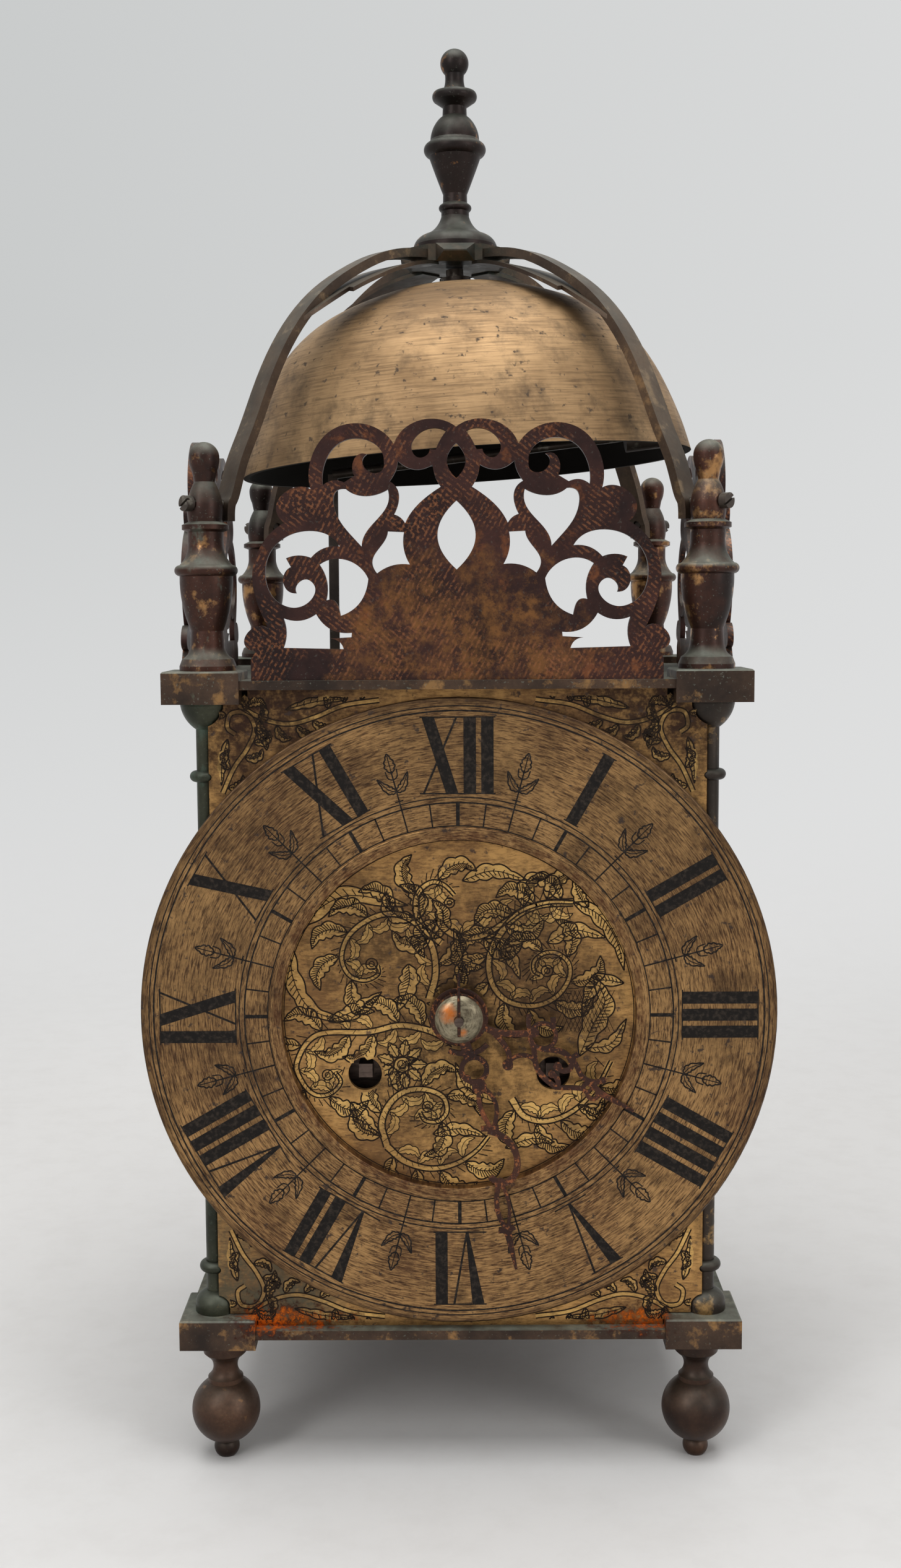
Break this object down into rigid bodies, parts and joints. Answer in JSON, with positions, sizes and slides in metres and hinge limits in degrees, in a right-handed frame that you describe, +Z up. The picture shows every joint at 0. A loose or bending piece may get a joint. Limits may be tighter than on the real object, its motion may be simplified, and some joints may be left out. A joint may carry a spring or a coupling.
{
  "type": "lantern clock",
  "caption": "Brass lantern clock with a strap-hung bell, pierced frets, four pillars on ball feet, opening side doors and a geared movement.",
  "frame": {"origin": "bottom centre, on the floor under the feet", "axes": "+Z up, the dial faces -Y, +X to the viewer's right"},
  "size_m": [0.1652, 0.1545, 0.3864],
  "materials": {
    "case_brass": "aged",
    "feet_brass": "aged",
    "pillar_brass": "aged",
    "finial_brass": "aged",
    "bell_metal": "brushed",
    "frame_metal": "dull",
    "fret_brass": "aged",
    "dial_brass": "engraved",
    "chapter_metal": "engraved",
    "door_brass": "aged",
    "hand_steel": "rusted",
    "movement_brass": "satin",
    "movement_steel": "satin",
    "spring_steel": "blued"
  },
  "bodies": {
    "case": {"base_plate": "case_brass", "top_plate": "case_brass", "movement_seat": "case_brass", "rear_panel": "case_brass", "foot_front_left": "feet_brass", "foot_front_right": "feet_brass", "foot_rear_left": "feet_brass", "foot_rear_right": "feet_brass", "pillar_front_left": "pillar_brass", "pillar_front_right": "pillar_brass", "pillar_rear_left": "pillar_brass", "pillar_rear_right": "pillar_brass", "corner_finial_front_left": "finial_brass", "corner_finial_front_right": "finial_brass", "corner_finial_rear_left": "finial_brass", "corner_finial_rear_right": "finial_brass", "crown_finial": "finial_brass", "bell": "bell_metal", "bell_frame": "frame_metal", "front_fret": "fret_brass", "left_fret": "fret_brass", "right_fret": "fret_brass", "dial_plate": "dial_brass", "chapter_ring": "chapter_metal", "movement_front_plate": "movement_brass", "movement_rear_plate": "movement_brass", "movement_pillars": "movement_brass", "balance_cock": "movement_brass", "dial_posts": "movement_brass", "bell_standoff": "movement_steel", "bell_frame_screws": "movement_steel", "plate_screws": "movement_steel", "click_springs": "movement_steel"},
    "minute_hand": {"minute_hand": "hand_steel", "hand_collet": "hand_steel", "hand_pin": "hand_steel", "cannon_pinion": "movement_steel"},
    "hour_hand": {"hour_hand": "hand_steel", "hour_wheel": "movement_brass"},
    "minute_wheel": {"minute_wheel": "movement_brass"},
    "centre": {"centre_wheel": "movement_brass"},
    "third": {"third_wheel": "movement_brass"},
    "escape": {"escape_wheel": "movement_brass"},
    "pallets": {"pallet_lever": "movement_steel"},
    "balance": {"balance_wheel": "movement_brass", "hairspring": "spring_steel"},
    "going_barrel": {"going_barrel": "movement_brass", "going_mainspring": "spring_steel"},
    "going_arbor": {"going_winding_arbor": "movement_steel"},
    "going_click": {"going_click": "movement_steel"},
    "strike_barrel": {"strike_barrel": "movement_brass", "strike_mainspring": "spring_steel"},
    "strike_arbor": {"strike_winding_arbor": "movement_steel"},
    "strike_click": {"strike_click": "movement_steel"},
    "second": {"strike_second_wheel": "movement_brass"},
    "pin_wheel": {"strike_pin_wheel": "movement_brass"},
    "fly": {"strike_fly": "movement_brass"},
    "hammer": {"hammer": "movement_steel"},
    "left_door": {"left_door": "door_brass"},
    "right_door": {"right_door": "door_brass"}
  },
  "joints": [
    {"name": "minute_hand_turn", "type": "hinge", "parent": "case", "child": "minute_hand", "pos_m": [0, -0.06, 0.1226], "axis": [0, 1, 0], "continuous": true},
    {"name": "hour_hand_turn", "type": "hinge", "parent": "case", "child": "hour_hand", "pos_m": [0, -0.06, 0.1226], "axis": [0, 1, 0], "continuous": true},
    {"name": "minute_wheel_turn", "type": "hinge", "parent": "case", "child": "minute_wheel", "pos_m": [0, -0.06, 0.1082], "axis": [0, 1, 0], "continuous": true},
    {"name": "third_turn", "type": "hinge", "parent": "case", "child": "third", "pos_m": [-0.00703, -0.04, 0.14302], "axis": [0, 1, 0], "continuous": true},
    {"name": "centre_turn", "type": "hinge", "parent": "case", "child": "centre", "pos_m": [0, -0.04, 0.1226], "axis": [0, 1, 0], "continuous": true},
    {"name": "going_barrel_turn", "type": "hinge", "parent": "case", "child": "going_barrel", "pos_m": [0.0246, -0.04, 0.1067], "axis": [0, 1, 0], "continuous": true},
    {"name": "escape_turn", "type": "hinge", "parent": "case", "child": "escape", "pos_m": [0.00296, -0.04, 0.15678], "axis": [0, 1, 0], "continuous": true},
    {"name": "going_arbor_turn", "type": "hinge", "parent": "case", "child": "going_arbor", "pos_m": [0.0246, -0.04, 0.1067], "axis": [0, 1, 0], "continuous": true},
    {"name": "pin_wheel_turn", "type": "hinge", "parent": "case", "child": "pin_wheel", "pos_m": [-0.02529, -0.04, 0.15197], "axis": [0, 1, 0], "continuous": true},
    {"name": "second_turn", "type": "hinge", "parent": "case", "child": "second", "pos_m": [-0.02969, -0.04, 0.13555], "axis": [0, 1, 0], "continuous": true},
    {"name": "strike_barrel_turn", "type": "hinge", "parent": "case", "child": "strike_barrel", "pos_m": [-0.0246, -0.04, 0.1067], "axis": [0, 1, 0], "continuous": true},
    {"name": "fly_turn", "type": "hinge", "parent": "case", "child": "fly", "pos_m": [-0.01804, -0.04, 0.16452], "axis": [0, 1, 0], "continuous": true},
    {"name": "strike_arbor_turn", "type": "hinge", "parent": "case", "child": "strike_arbor", "pos_m": [-0.0246, -0.04, 0.1067], "axis": [0, 1, 0], "continuous": true},
    {"name": "pallets_rock", "type": "hinge", "parent": "case", "child": "pallets", "pos_m": [0.01844, -0.04, 0.15993], "axis": [0, 1, 0], "range_deg": [-4, 4]},
    {"name": "balance_swing", "type": "hinge", "parent": "case", "child": "balance", "pos_m": [0.03294, -0.014, 0.15993], "axis": [0, 1, 0], "range_deg": [-120, 120], "stiffness_Nm_per_rad": 0.00001},
    {"name": "hammer_lift", "type": "hinge", "parent": "case", "child": "hammer", "pos_m": [-0.0354, -0.04, 0.172], "axis": [0, 1, 0], "range_deg": [-10, 0.6], "stiffness_Nm_per_rad": 1, "springref_deg": 2},
    {"name": "going_click_lift", "type": "hinge", "parent": "case", "child": "going_click", "pos_m": [0.038, -0.0602, 0.1], "axis": [0, -1, 0], "range_deg": [0, 8], "stiffness_Nm_per_rad": 0.001, "springref_deg": -11.46},
    {"name": "strike_click_lift", "type": "hinge", "parent": "case", "child": "strike_click", "pos_m": [-0.038, -0.0602, 0.1], "axis": [0, 1, 0], "range_deg": [0, 8], "stiffness_Nm_per_rad": 0.001, "springref_deg": -11.46},
    {"name": "right_door_open", "type": "hinge", "parent": "case", "child": "right_door", "pos_m": [0.0653, 0.0569, 0.12255], "axis": [0, 0, 1], "range_deg": [0, 100]},
    {"name": "left_door_open", "type": "hinge", "parent": "case", "child": "left_door", "pos_m": [-0.0653, 0.0569, 0.12255], "axis": [0, 0, -1], "range_deg": [0, 100]}
  ],
  "couplings": [
    {"joint": "hour_hand_turn", "follows": "minute_hand_turn", "ratio": 0.083333},
    {"joint": "minute_wheel_turn", "follows": "minute_hand_turn", "ratio": -0.33333},
    {"joint": "centre_turn", "follows": "third_turn", "ratio": -0.125},
    {"joint": "going_barrel_turn", "follows": "third_turn", "ratio": 0.03125},
    {"joint": "escape_turn", "follows": "third_turn", "ratio": -7.5},
    {"joint": "second_turn", "follows": "pin_wheel_turn", "ratio": -0.13333},
    {"joint": "strike_barrel_turn", "follows": "pin_wheel_turn", "ratio": 0.033333},
    {"joint": "fly_turn", "follows": "pin_wheel_turn", "ratio": -6.25}
  ]
}
